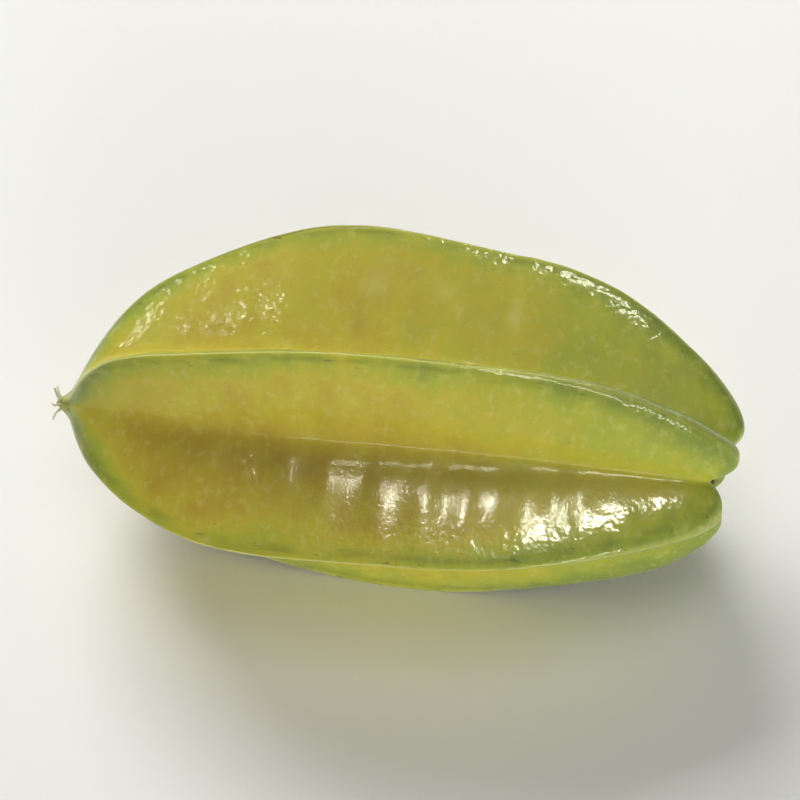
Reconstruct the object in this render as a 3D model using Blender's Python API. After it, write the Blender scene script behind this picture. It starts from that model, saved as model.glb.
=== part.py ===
# Star fruit (carambola), as picked, lying on two of its five ribs.
#
# Frame: metres, +Z up. +X runs along the fruit from the blossom end to the stalk end. The origin is the
# middle of the bottom of the whole object's box, so the fruit rests on z = 0.
#
# Three solids: the fleshy fruit, the dry styles left on its blossom end, and the stub of its stalk.

import math

import bmesh
import bpy
from mathutils import Matrix, Vector

# The whole fruit
HALF_LENGTH = 0.0600  # middle of the fruit to either pole, before the hollow and the tip are formed
GROOVE_RADIUS = 0.0158  # axis to the bottom of the groove between two ribs, at the belly
GROOVE_BLUNTNESS = 0.60  # under 1, the grooves stay wide towards both ends
GROOVE_LIMIT = 0.9  # the groove never comes closer than this to the ribs' own radius
GROOVE_BLEND = 8  # how sharply the groove turns from its own radius to that limit
GROOVE_ROUNDING = 0.085  # radians about the axis over which a groove is rounded out at the blossom end
GROOVE_CREASE = 0.015  # the same at the stalk end, where the groove is a sharp crease
FLANK_PLUMPNESS = 1.35  # 1 is a flat flank, more makes it bulge
CREST_HALF_WIDTH = 0.0010  # half the thickness of a rib's edge
CREST_TIGHTNESS = 16  # how late the edge rounds over
CREST_SHARE = 0.4  # most of the rib's base that its edge may take, near the poles
CREST_WAVES = 7  # half waves of a rib's edge from pole to pole
RESTING_DEPTH = 0.00030  # how far the two lowest ribs are pressed flat where they rest

# Stalk end: the rib shoulders stand up round a hollow that the stalk sits in
HOLLOW_DEPTH = 0.0088
HOLLOW_RADIUS = 0.0054
HOLLOW_STEEPNESS = 4
SHOULDER_ONSET = 6  # higher keeps the shoulders' reach closer to the end
GROOVE_NOTCH = 0.0029  # how far the grooves fall back between the shoulders

# Blossom end: the ribs run together into a blunt cone with a small beak on it
CONE_HEIGHT = 0.0027
CONE_RADIUS = 0.0073
CONE_ONSET = 3
BEAK_HEIGHT = 0.0018
BEAK_RADIUS = 0.0018

# The ribs, going round from the far side over the top. Angles are in degrees about +X from +Y.
# radius is at the belly, fullness swells the blossom half, bluntness under 1 squares the ends,
# sway turns the edge opposite ways at the two ends and spread the same way, bow bends it back at
# the ends, wave and phase are the edge's own waviness, reach is how far its shoulder stands out at the stalk end, and lean turns
# the groove after it away from the middle between two ribs.
RIBS = (
    dict(  # far side
        angle=19.6, radius=0.0389, fullness=0.048, bluntness=0.935, sway=0.6, spread=0.0, bow=0.0,
        wave=0.00079, phase=-0.87, reach=0.0017, lean=0.0,
    ),
    dict(  # top
        angle=91.4, radius=0.0325, fullness=0.048, bluntness=0.785, sway=6.8, spread=0.0, bow=-8.6,
        wave=0.00060, phase=-1.13, reach=0.0013, lean=-4.9,
    ),
    dict(  # near side
        angle=161.6, radius=0.0326, fullness=0.130, bluntness=0.950, sway=4.0, spread=6.2, bow=0.0,
        wave=0.00063, phase=0.91, reach=0.0005, lean=0.0,
    ),
    dict(  # underneath, on the near side
        angle=238.0, radius=0.0300, fullness=0.050, bluntness=0.880, sway=2.0, spread=1.0, bow=0.0,
        wave=0.00030, phase=2.50, reach=0.0000, lean=1.0,
    ),
    dict(  # underneath, on the far side
        angle=309.0, radius=0.0329, fullness=0.050, bluntness=0.880, sway=-1.0, spread=1.0, bow=0.0,
        wave=0.00030, phase=2.10, reach=-0.0008, lean=1.0,
    ),
)

# Mesh of the flesh
RINGS = 48  # steps from pole to pole
RING_CROWDING = 0.45  # draws the steps together at both ends
FLANK_STEPS = 8  # steps up one flank, from groove to edge
SHARP_ANGLE = math.radians(40)  # edges turned more than this are shaded sharp

# Small pieces
SEAT_GAP = 0.0003  # between a small piece and the seat that holds it
SEAT_DEPTH = 0.0022
STALK_RADIUS = 0.0012
STALK_LENGTH = 0.0034  # above the floor of the hollow
STALK_COLLAR_RADIUS = 0.0021
STALK_COLLAR_RISE = 0.0006  # the collar's underside climbs this much, as the hollow's floor does
STALK_COLLAR_HEIGHT = 0.0012
STALK_ROOT = 1.15  # radii along the stub, as shares of its own: above the collar, at its neck,
STALK_NECK = 0.92  # below its broken end,
STALK_SWELL = 1.08
STALK_BREAK = 0.88  # and round the broken end itself
STALK_BREAK_HEIGHT = 0.00024
STALK_SIDES = 20
STYLE_COUNT = 5
STYLE_RADIUS = 0.00034
STYLE_LENGTH = 0.0036
STYLE_SPREAD = math.radians(64)  # lean of a dry style away from the fruit's axis
STYLE_CURL = 0.0011  # how far its end bends sideways
STYLE_OFFSET = 0.15  # turns the ring of styles, in steps from one to the next
STYLE_VARIETY = 0.18  # share by which their lengths differ
STYLE_LENGTH_STRIDE = 2.4  # radians from one style to the next in the rule for length
STYLE_CURL_STRIDE = 1.7  # the same in the rule for the sideways bend
STYLE_FLARE = 0.4  # share of the lean that is there from the start
STYLE_TAPER = 0.25  # share of its radius lost at the end
STYLE_POINTS = 7
STYLE_WELD = 1e-6
STYLE_PEG_RADIUS = 0.0007
STYLE_SEAT_DEPTH = 0.0010
STYLE_PEG_SIDES = 12

STALK_FLOOR = HALF_LENGTH - HOLLOW_DEPTH  # x of the floor of the hollow
BLOSSOM_TIP = -(HALF_LENGTH + CONE_HEIGHT + BEAK_HEIGHT)  # x of the beak's end


def crest(rib, turn):
    """Angle and radius of a rib's edge, where turn is 0 at the blossom pole and pi at the stalk pole."""
    towards = math.cos(turn)  # 1 at the blossom pole, -1 at the stalk pole
    angle = rib["angle"] + rib["sway"] * towards + rib["spread"] * towards**2 + rib["bow"] * towards**3
    belly = rib["radius"] + rib["wave"] * math.sin(CREST_WAVES * turn + rib["phase"])
    radius = belly * math.sin(turn) ** rib["bluntness"] * (1 + rib["fullness"] * math.cos(turn))
    return math.radians(angle), radius


def groove(index, turn):
    """Angle and radius of the groove after a rib."""
    rib = RIBS[index]
    following = RIBS[(index + 1) % len(RIBS)]
    angle, radius = crest(rib, turn)
    next_angle, next_radius = crest(following, turn)
    if next_angle < angle:
        next_angle += 2 * math.pi
    free = GROOVE_RADIUS * math.sin(turn) ** GROOVE_BLUNTNESS
    limit = GROOVE_LIMIT * (radius + next_radius) / 2
    blended = (free**-GROOVE_BLEND + limit**-GROOVE_BLEND) ** (-1 / GROOVE_BLEND)
    return (angle + next_angle) / 2 + math.radians(rib["lean"]), blended


def along(turn, radius, reach, grooving):
    """x of a point of the skin at that distance from the axis, with the hollow and the tip formed."""
    x = -HALF_LENGTH * math.cos(turn)
    if turn > math.pi / 2:
        hollow = 1 / (1 + (radius / HOLLOW_RADIUS) ** HOLLOW_STEEPNESS)
        stalkward = ((1 - math.cos(turn)) / 2) ** SHOULDER_ONSET
        return x - HOLLOW_DEPTH * hollow + stalkward * (1 - hollow) * (reach - GROOVE_NOTCH * grooving)
    cone = CONE_HEIGHT * math.exp(-radius / CONE_RADIUS) * ((1 + math.cos(turn)) / 2) ** CONE_ONSET
    beak = BEAK_HEIGHT * math.exp(-((radius / BEAK_RADIUS) ** 2))
    return x - cone - beak


def flank_point(index, side, turn, rise):
    """A point of a rib's flank on one side, -1 or 1. rise is 0 in the groove and 1 on the edge."""
    rib = RIBS[index]
    neighbour = RIBS[(index + side) % len(RIBS)]
    centre, crest_radius = crest(rib, turn)
    groove_angle, groove_radius = groove(index if side > 0 else index - 1, turn)
    half_gap = (groove_angle - centre + math.pi) % (2 * math.pi) - math.pi
    between = side * (crest(neighbour, turn)[0] - centre) % (2 * math.pi)
    foot = groove_radius * math.cos(half_gap)
    base = groove_radius * abs(math.sin(half_gap))
    edge = min(CREST_HALF_WIDTH, CREST_SHARE * base)
    height = foot + (crest_radius - foot) * rise
    width = (base - edge) * (1 - rise**FLANK_PLUMPNESS) + edge * math.sqrt(1 - rise**CREST_TIGHTNESS)
    angle = math.atan2(width, height)
    blossomward = (1 + math.cos(turn)) / 2
    rounding = GROOVE_CREASE + (GROOVE_ROUNDING - GROOVE_CREASE) * blossomward
    fill = rounding * math.exp((angle - abs(half_gap)) / rounding) / math.tan(between / 2)
    radius = math.hypot(width, height) + groove_radius * fill * (1 - rise)
    angle = centre + side * angle
    reach = rib["reach"] * rise + (rib["reach"] + neighbour["reach"]) / 2 * (1 - rise)
    x = along(turn, radius, reach, (1 - rise) ** 2)
    return Vector((x, radius * math.cos(angle), radius * math.sin(angle)))


def ring_points(turn):
    """One closed row of points round the fruit, from groove to groove over each rib in turn."""
    rises = [(1 - math.cos(math.pi * step / FLANK_STEPS)) / 2 for step in range(FLANK_STEPS + 1)]
    points = []
    for index in range(len(RIBS)):
        points += [flank_point(index, -1, turn, rise) for rise in rises]
        points += [flank_point(index, 1, turn, rise) for rise in reversed(rises[1:-1])]
    return points


def material(name, colour, roughness):
    made = bpy.data.materials.new(name)
    made.use_nodes = True
    shader = made.node_tree.nodes["Principled BSDF"]
    shader.inputs["Base Color"].default_value = (*colour, 1)
    shader.inputs["Roughness"].default_value = roughness
    shader.inputs["Metallic"].default_value = 0
    return made


def add_object(name, bm, finish):
    mesh = bpy.data.meshes.new(name)
    bm.to_mesh(mesh)
    bm.free()
    mesh.shade_smooth()
    mesh.set_sharp_from_angle(angle=SHARP_ANGLE)
    mesh.materials.append(finish)
    obj = bpy.data.objects.new(name, mesh)
    bpy.context.scene.collection.objects.link(obj)
    return obj


def flesh_mesh():
    """The ribbed body: a row of points round the fruit at each step between the poles, and the two poles."""
    bm = bmesh.new()
    steps = [step / RINGS for step in range(1, RINGS)]
    turns = [math.pi * (t - RING_CROWDING * math.sin(2 * math.pi * t) / (2 * math.pi)) for t in steps]
    rows = [[bm.verts.new(point) for point in ring_points(turn)] for turn in turns]
    blossom_pole = bm.verts.new((along(0, 0, 0, 0), 0, 0))
    stalk_pole = bm.verts.new((along(math.pi, 0, 0, 0), 0, 0))
    count = len(rows[0])
    for i in range(count):
        j = (i + 1) % count
        bm.faces.new((blossom_pole, rows[0][j], rows[0][i]))
        bm.faces.new((stalk_pole, rows[-1][i], rows[-1][j]))
        for low, high in zip(rows, rows[1:]):
            bm.faces.new((low[i], low[j], high[j], high[i]))
    bmesh.ops.recalc_face_normals(bm, faces=bm.faces)
    return bm


def press_flat(bm):
    """Cuts the two lowest ribs flat where they rest, and returns the height of that plane."""
    floor = min(v.co.z for v in bm.verts) + RESTING_DEPTH
    cut = bmesh.ops.bisect_plane(
        bm, geom=bm.verts[:] + bm.edges[:] + bm.faces[:],
        plane_co=(0, 0, floor), plane_no=(0, 0, 1), clear_inner=True,
    )
    edges = [item for item in cut["geom_cut"] if isinstance(item, bmesh.types.BMEdge)]
    bmesh.ops.holes_fill(bm, edges=edges)
    bmesh.ops.recalc_face_normals(bm, faces=bm.faces)
    return floor


def seat_cutter(name, start, end, radius, sides):
    """A round cutter along X that leaves the seat of a small piece."""
    bm = bmesh.new()
    turned = Matrix.Translation(((start + end) / 2, 0, 0)) @ Matrix.Rotation(math.pi / 2, 4, "Y")
    bmesh.ops.create_cone(
        bm, cap_ends=True, segments=sides, radius1=radius, radius2=radius, depth=end - start, matrix=turned
    )
    mesh = bpy.data.meshes.new(name)
    bm.to_mesh(mesh)
    bm.free()
    cutter = bpy.data.objects.new(name, mesh)
    bpy.context.scene.collection.objects.link(cutter)
    cutter.hide_render = True
    cutter.display_type = "WIRE"
    return cutter


def cut(obj, cutter):
    modifier = obj.modifiers.new(cutter.name, "BOOLEAN")
    modifier.operation = "DIFFERENCE"
    modifier.solver = "EXACT"
    modifier.object = cutter


def stalk_mesh():
    """The stub of the stalk, turned about X: a root in the seat, a collar above it, and a broken end."""
    floor = STALK_FLOOR + SEAT_GAP
    end = STALK_FLOOR + STALK_LENGTH
    outline = (
        (STALK_FLOOR - SEAT_DEPTH + SEAT_GAP, STALK_RADIUS),
        (floor, STALK_RADIUS),
        (floor + STALK_COLLAR_RISE, STALK_COLLAR_RADIUS),
        (floor + (STALK_COLLAR_RISE + STALK_COLLAR_HEIGHT) / 2, STALK_COLLAR_RADIUS),
        (floor + STALK_COLLAR_HEIGHT, STALK_ROOT * STALK_RADIUS),
        ((floor + end) / 2, STALK_NECK * STALK_RADIUS),
        (end - STALK_BREAK_HEIGHT, STALK_SWELL * STALK_RADIUS),
        (end, STALK_BREAK * STALK_RADIUS),
    )
    bm = bmesh.new()
    rows = []
    for x, radius in outline:
        angles = [2 * math.pi * i / STALK_SIDES for i in range(STALK_SIDES)]
        rows.append([bm.verts.new((x, radius * math.cos(a), radius * math.sin(a))) for a in angles])
    for low, high in zip(rows, rows[1:]):
        for i in range(STALK_SIDES):
            j = (i + 1) % STALK_SIDES
            bm.faces.new((low[i], low[j], high[j], high[i]))
    bm.faces.new(rows[0])
    bm.faces.new(rows[-1])
    bmesh.ops.recalc_face_normals(bm, faces=bm.faces)
    return bm


def style_curve(index, start_x):
    """One dry style: it leaves the peg, leans outwards and curls. The lengths differ by a fixed rule."""
    angle = 2 * math.pi * (index + STYLE_OFFSET) / STYLE_COUNT
    length = STYLE_LENGTH * (1 + STYLE_VARIETY * math.sin(STYLE_LENGTH_STRIDE * index))
    outward = Vector((0, math.cos(angle), math.sin(angle)))
    sideways = Vector((0, -math.sin(angle), math.cos(angle)))
    curve = bpy.data.curves.new("style", "CURVE")
    curve.dimensions = "3D"
    curve.bevel_depth = STYLE_RADIUS
    curve.bevel_resolution = 1
    curve.use_fill_caps = True
    spline = curve.splines.new("POLY")
    spline.points.add(STYLE_POINTS - 1)
    for step, point in enumerate(spline.points):
        share = step / (STYLE_POINTS - 1)
        flare = STYLE_FLARE + (1 - STYLE_FLARE) * share
        place = Vector((start_x, 0, 0))
        place += Vector((-1, 0, 0)) * length * share * math.cos(STYLE_SPREAD)
        place += outward * length * share * math.sin(STYLE_SPREAD) * flare
        place += sideways * STYLE_CURL * share**2 * math.cos(STYLE_CURL_STRIDE * index)
        point.co = (*place, 1)
        point.radius = 1 - STYLE_TAPER * share
    return bpy.data.objects.new("style", curve)


def mesh_copy(obj):
    """A plain mesh object of what obj evaluates to."""
    bpy.context.view_layer.update()
    graph = bpy.context.evaluated_depsgraph_get()
    mesh = bpy.data.meshes.new_from_object(obj.evaluated_get(graph))
    return bpy.data.objects.new(obj.name, mesh)


def styles_object(finish):
    """The peg and its dry styles, joined in one solid."""
    scene = bpy.context.scene.collection
    repeats = bpy.data.collections.new("styles")
    scene.children.link(repeats)
    peg_end = BLOSSOM_TIP - STYLE_RADIUS
    for index in range(STYLE_COUNT):
        curve = style_curve(index, peg_end + 2 * STYLE_RADIUS)
        scene.objects.link(curve)
        thread = mesh_copy(curve)
        bm = bmesh.new()
        bm.from_mesh(thread.data)
        bmesh.ops.remove_doubles(bm, verts=bm.verts, dist=STYLE_WELD)
        bmesh.ops.recalc_face_normals(bm, faces=bm.faces)
        bm.to_mesh(thread.data)
        bm.free()
        repeats.objects.link(thread)
        bpy.data.objects.remove(curve)
    bm = bmesh.new()
    floor = BLOSSOM_TIP + STYLE_SEAT_DEPTH - SEAT_GAP
    turned = Matrix.Translation(((floor + peg_end) / 2, 0, 0)) @ Matrix.Rotation(math.pi / 2, 4, "Y")
    bmesh.ops.create_cone(
        bm, cap_ends=True, segments=STYLE_PEG_SIDES, radius1=STYLE_PEG_RADIUS, radius2=STYLE_PEG_RADIUS,
        depth=floor - peg_end, matrix=turned,
    )
    peg = add_object("dried_styles", bm, finish)
    union = peg.modifiers.new("join", "BOOLEAN")
    union.operation = "UNION"
    union.solver = "EXACT"
    union.operand_type = "COLLECTION"
    union.collection = repeats
    joined = mesh_copy(peg)
    mesh = joined.data
    mesh.materials.clear()
    mesh.materials.append(finish)
    peg.modifiers.clear()
    peg.data = mesh
    for thread in list(repeats.objects):
        bpy.data.objects.remove(thread)
    bpy.data.objects.remove(joined)
    bpy.data.collections.remove(repeats)
    return peg


def main():
    for obj in list(bpy.data.objects):
        bpy.data.objects.remove(obj)
    skin = material("waxy_skin", (0.50, 0.46, 0.07), 0.32)
    dry_stalk = material("dry_stalk", (0.22, 0.15, 0.07), 0.85)
    dry_style = material("dry_style", (0.33, 0.26, 0.15), 0.85)

    flesh = flesh_mesh()
    floor = press_flat(flesh)
    body = add_object("fruit_body", flesh, skin)
    stalk_seat = seat_cutter(
        "stalk_seat", STALK_FLOOR - SEAT_DEPTH, STALK_FLOOR + SEAT_DEPTH, STALK_RADIUS + SEAT_GAP, STALK_SIDES
    )
    style_seat = seat_cutter(
        "style_seat", BLOSSOM_TIP - STYLE_SEAT_DEPTH, BLOSSOM_TIP + STYLE_SEAT_DEPTH,
        STYLE_PEG_RADIUS + SEAT_GAP, STYLE_PEG_SIDES,
    )
    cut(body, stalk_seat)
    cut(body, style_seat)
    stalk = add_object("stalk_stub", stalk_mesh(), dry_stalk)
    styles = styles_object(dry_style)

    # The origin goes to the middle of the bottom of the whole object's box
    corners = [v.co for piece in (body, stalk, styles) for v in piece.data.vertices]
    middle_x = (min(c.x for c in corners) + max(c.x for c in corners)) / 2
    middle_y = (min(c.y for c in corners) + max(c.y for c in corners)) / 2
    place = bpy.data.objects.new("star_fruit", None)
    bpy.context.scene.collection.objects.link(place)
    place.location = (-middle_x, -middle_y, -floor)
    for piece in (body, stalk, styles, stalk_seat, style_seat):
        piece.parent = place


main()
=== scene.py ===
import math
import bmesh
import bpy
from mathutils import Matrix, Vector, noise


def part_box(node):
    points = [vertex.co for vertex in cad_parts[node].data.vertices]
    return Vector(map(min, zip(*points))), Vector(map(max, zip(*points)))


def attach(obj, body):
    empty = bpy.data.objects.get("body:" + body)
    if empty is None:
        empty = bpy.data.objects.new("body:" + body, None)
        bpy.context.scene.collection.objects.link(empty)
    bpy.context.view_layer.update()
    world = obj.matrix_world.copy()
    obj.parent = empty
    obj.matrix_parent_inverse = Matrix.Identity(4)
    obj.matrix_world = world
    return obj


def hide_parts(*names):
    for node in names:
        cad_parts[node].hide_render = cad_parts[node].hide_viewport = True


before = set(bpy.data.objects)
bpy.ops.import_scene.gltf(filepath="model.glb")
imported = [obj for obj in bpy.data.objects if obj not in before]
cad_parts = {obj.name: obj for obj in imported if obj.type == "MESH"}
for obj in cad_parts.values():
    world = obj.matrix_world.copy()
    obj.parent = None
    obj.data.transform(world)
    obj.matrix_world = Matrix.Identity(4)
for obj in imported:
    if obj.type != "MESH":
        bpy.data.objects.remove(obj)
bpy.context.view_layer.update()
millimetre = 0.001

# The fruit's axis runs through the middle of its stalk, and the stub starts a known way along it
stubLow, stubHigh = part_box("stalk_stub")
middleToStub = 49.3 * millimetre
axisPlace = Vector((stubLow.x - middleToStub, (stubLow.y + stubHigh.y) / 2, (stubLow.z + stubHigh.z) / 2))


def linearColour(text):
    # an sRGB hex colour as the linear one that Blender works in
    parts = [int(text[i:i + 2], 16) / 255 for i in (1, 3, 5)]
    return (*[p / 12.92 if p <= 0.04045 else ((p + 0.055) / 1.055) ** 2.4 for p in parts], 1)


def addNode(tree, kind, settings=None, links=None):
    # one node: settings are its own properties or the values of its inputs, links say what feeds an input
    node = tree.nodes.new(kind)
    for key, value in (settings or {}).items():
        if isinstance(key, str) and hasattr(node, key):
            setattr(node, key, value)
        else:
            node.inputs[key].default_value = value
    for key, socket in (links or {}).items():
        tree.links.new(socket, node.inputs[key])
    return node


def plainMesh(name, tree, inputs, material):
    # runs a node tree on an empty mesh and keeps the result as an ordinary mesh
    maker = bpy.data.objects.new(name, bpy.data.meshes.new(name))
    bpy.context.scene.collection.objects.link(maker)
    modifier = maker.modifiers.new("shape", "NODES")
    modifier.node_group = tree
    for item in tree.interface.items_tree:
        if item.in_out == "INPUT" and item.name in inputs:
            modifier[item.identifier] = inputs[item.name]
    bpy.context.view_layer.update()
    graph = bpy.context.evaluated_depsgraph_get()
    mesh = bpy.data.meshes.new_from_object(maker.evaluated_get(graph))
    maker.modifiers.remove(modifier)
    maker.data = mesh
    mesh.name = name
    if not mesh.materials:
        mesh.materials.append(material)
    return maker


# Camera and light come first, because the surface shows what it mirrors
print("camera, light and floor")
camera = {
    "azimuth": 10.4, "elevation": 60.8, "roll": 2.5,  # degrees
    "distance": 0.860, "fieldWidth": 0.143,  # metres, the second across the picture at the fruit
    "aimRight": -0.002, "aimUp": 0.0078,  # metres from the middle of the fruit to the middle of the picture
}


def directionFrom(azimuth, elevation):
    # azimuth 0 is the near side, 90 the stalk end's side
    a, e = math.radians(azimuth), math.radians(elevation)
    return Vector((math.sin(a) * math.cos(e), -math.cos(a) * math.cos(e), math.sin(e)))


def addCamera():
    back = directionFrom(camera["azimuth"], camera["elevation"])
    level = Vector((math.cos(math.radians(camera["azimuth"])), math.sin(math.radians(camera["azimuth"])), 0))
    rise = back.cross(level)
    roll = math.radians(camera["roll"])
    right = level * math.cos(roll) - rise * math.sin(roll)
    up = level * math.sin(roll) + rise * math.cos(roll)
    data = bpy.data.cameras.new("camera")
    data.sensor_width = 36
    data.lens = data.sensor_width * camera["distance"] / camera["fieldWidth"]
    made = bpy.data.objects.new("camera", data)
    bpy.context.scene.collection.objects.link(made)
    place = Matrix((right, up, back)).transposed().to_4x4()
    aim = axisPlace + right * camera["aimRight"] + up * camera["aimUp"]
    place.translation = aim + back * camera["distance"]
    made.matrix_world = place
    bpy.context.scene.camera = made


addCamera()

# Each light is a soft panel: where it stands as seen from the fruit, how far, its sizes, which way its
# long side runs and its power. A "gloss" panel only shows as a reflection in the wax, and a "fill" only lights
panelColumns = ("use", "azimuth", "elevation", "distance", "width", "height", "along", "watts")
panels = {
    "skylight1": ("gloss", 210, 74, 1.1, 0.022, 0.045, 90, 0.55),
    "skylight2": ("gloss", 190, 78, 1.1, 0.034, 0.09, 90, 1.75),
    "skylight3": ("gloss", 122, 76, 1.1, 0.021, 0.125, 90, 1.86),
    "skylight4": ("gloss", 96, 68, 1.1, 0.23, 0.12, 90, 8.2),
    "farRight": ("gloss", 165, 38, 1.2, 0.32, 0.13, 75, 5.6),
    "farMid": ("gloss", 189, 59, 1.2, 0.016, 0.012, 99, 0.085),
    "farLeft": ("gloss", 219, 54, 1.2, 0.03, 0.07, 126, 0.80),
    "farEdge": ("gloss", 227, 30, 1.2, 0.30, 0.06, 137, 1.7),
    "nearStrip": ("gloss", 5, 30, 1.2, 0.80, 0.05, 95, 7.5),
    "nearRight": ("gloss", 33, 20, 1.2, 0.50, 0.10, 123, 5.0),
    "softFront": ("fill", 31, 9, 1.3, 1.20, 0.32, 121, 13.9),
    "softBack": ("fill", 213, 37, 0.9, 0.63, 0.45, 123, 7.9),
    "softTop": ("fill", 0, 86, 1.4, 0.60, 0.60, 90, 2.8),
}
room = {
    "colour": "#f4f4f2", "fill": "#fffefb", "gloss": "#fffbe8", "strength": 0.09,
    "floorColour": "#f9f9f8", "floorRoughness": 0.9, "floorSize": 3.0,
}


def addLights():
    for name, values in panels.items():
        panel = dict(zip(panelColumns, values))
        data = bpy.data.lights.new(name, "AREA")
        data.shape = "RECTANGLE"
        data.size, data.size_y = panel["width"], panel["height"]
        data.energy = panel["watts"]
        data.color = linearColour(room[panel["use"]])[:3]
        light = bpy.data.objects.new(name, data)
        towards = directionFrom(panel["azimuth"], panel["elevation"])
        sideways = directionFrom(panel["along"], 0)
        sideways = (sideways - towards * sideways.dot(towards)).normalized()
        turned = Matrix((sideways, towards.cross(sideways), towards)).transposed().to_4x4()
        turned.translation = axisPlace + towards * panel["distance"]
        light.matrix_world = turned
        light.visible_glossy = panel["use"] == "gloss"
        light.visible_diffuse = panel["use"] == "fill"
        bpy.context.scene.collection.objects.link(light)
    world = bpy.data.worlds.new("paleRoom")
    world.use_nodes = True
    sky = world.node_tree.nodes["Background"]
    sky.inputs["Color"].default_value = linearColour(room["colour"])
    sky.inputs["Strength"].default_value = room["strength"]
    bpy.context.scene.world = world


def addFloor():
    half = room["floorSize"] / 2
    mesh = bpy.data.meshes.new("floor")
    mesh.from_pydata([(-half, -half, 0), (half, -half, 0), (half, half, 0), (-half, half, 0)], [], [(0, 1, 2, 3)])
    paper = bpy.data.materials.new("paleMattBoard")
    paper.use_nodes = True
    shader = paper.node_tree.nodes["Principled BSDF"]
    shader.inputs["Base Color"].default_value = linearColour(room["floorColour"])
    shader.inputs["Roughness"].default_value = room["floorRoughness"]
    mesh.materials.append(paper)
    floor = bpy.data.objects.new("floor", mesh)
    bpy.context.scene.collection.objects.link(floor)


addLights()
addFloor()
bpy.context.scene.view_settings.view_transform = "Standard"

# The fruit. Lengths are in metres, and "turn" in the comments is 0 at the blossom end and pi at the stalk
print("fruit")
fruit = {
    "Half length": 0.0600,
    "Groove radius": 0.0158, "Groove bluntness": 0.60, "Groove limit": 0.9, "Groove blend": 8.0,
    "Groove rounding": 0.085, "Groove crease": 0.015,  # soft at the blossom end, sharp at the stalk end
    "Flank plumpness": 1.35,
    "Edge half width": 0.0010, "Edge share": 0.4, "Edge tightness": 16.0, "Edge waves": 7.0,
    "Edge thinning": 0.62, "Edge widening": 0.45, "Edge easing": 0.6,  # towards the blossom, then the stalk
    "Hollow depth": 0.0088, "Hollow radius": 0.0054, "Hollow steepness": 4.0,
    "Shoulder onset": 6.0, "Groove notch": 0.0029,
    "Cone height": 0.0027, "Cone radius": 0.0073, "Cone onset": 3.0,
    "Beak height": 0.0018, "Beak radius": 0.0018,
    "Ring crowding": 0.45,
    "Points round": 221, "Points along": 421,
    "Lump height": 0.00030, "Lump size": 0.011,
    "Fold height": 0.00060, "Fold width": 0.0056, "Fold length": 0.022,
    "Wrinkle height": 0.00004, "Wrinkle width": 0.0022, "Wrinkle length": 0.0028,
    "Seed": 41.0,
}
weld = {"seam": 5e-8, "pole": 3e-5, "poleTaper": 1e-5}  # metres, and the share of the girth that counts as a pole
valley = {"reach": 0.16, "steps": 30}  # how far up the flank a groove is eased, and how often
reliefs = (  # height, size across the folds, size along them, and how much finer detail
    ("Lump height", "Lump size", "Lump size", 2.0),
    ("Fold height", "Fold width", "Fold length", 0.0),
    ("Wrinkle height", "Wrinkle width", "Wrinkle length", 1.0),
)
reliefFade = {"ends": 2.5, "rest": 0.003}  # how steeply it grows from both ends, and over what height from the table
reliefSeedStep = 10.0
# The ribs, going round from the far side over the top. ripe is how far each flank has turned from
# green to orange, on the side towards the rib before and then on the side towards the rib after
ribs = [
    {"angle": 19.6, "radius": 0.0389, "fullness": 0.048, "bluntness": 0.935, "sway": 0.6, "spread": 0.0, "bow": 0.0,
     "wave": 0.00079, "phase": -0.87, "reach": 0.0017, "lean": 0.0, "ripe": (0.55, 0.58)},
    {"angle": 91.4, "radius": 0.0325, "fullness": 0.048, "bluntness": 0.785, "sway": 6.8, "spread": 0.0, "bow": -8.6,
     "wave": 0.00060, "phase": -1.13, "reach": 0.0013, "lean": -4.9, "ripe": (0.60, 0.62)},
    {"angle": 161.6, "radius": 0.0326, "fullness": 0.130, "bluntness": 0.950, "sway": 4.0, "spread": 6.2, "bow": 0.0,
     "wave": 0.00063, "phase": 0.91, "reach": 0.0005, "lean": 0.0, "ripe": (0.74, 0.62)},
    {"angle": 238.0, "radius": 0.0300, "fullness": 0.050, "bluntness": 0.880, "sway": 2.0, "spread": 1.0, "bow": 0.0,
     "wave": 0.00030, "phase": 2.50, "reach": 0.0000, "lean": 1.0, "ripe": (0.55, 0.60)},
    {"angle": 309.0, "radius": 0.0329, "fullness": 0.050, "bluntness": 0.880, "sway": -1.0, "spread": 1.0, "bow": 0.0,
     "wave": 0.00030, "phase": 2.10, "reach": -0.0008, "lean": 1.0, "ripe": (0.62, 0.52)},
]


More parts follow.
